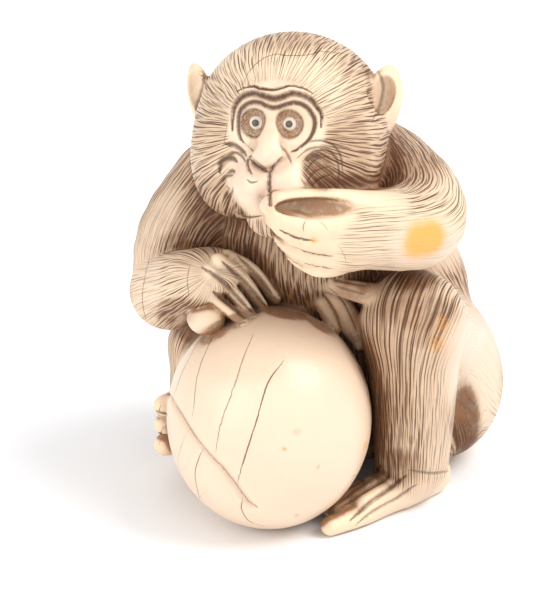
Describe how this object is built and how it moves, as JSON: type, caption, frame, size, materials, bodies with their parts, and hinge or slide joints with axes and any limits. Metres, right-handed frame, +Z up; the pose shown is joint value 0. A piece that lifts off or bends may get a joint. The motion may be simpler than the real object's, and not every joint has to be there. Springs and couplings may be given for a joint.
{
  "type": "netsuke",
  "caption": "Small carved ivory figure of a seated monkey holding a large peach, one hand at its mouth, with a cord tunnel in its back.",
  "frame": {"origin": "middle of the work's box, on the surface it stands on", "axes": "+Z up, -Y the way the monkey and the peach face, +X the monkey's left side"},
  "size_m": [0.0312, 0.0306, 0.0407],
  "materials": {
    "ivory": "polished ivory, warm cream, with brown stain in the cuts and hair lines",
    "horn": "polished black-brown horn"
  },
  "bodies": {
    "root": {"carving": "ivory", "pupil_right": "horn", "pupil_left": "horn"}
  },
  "joints": []
}
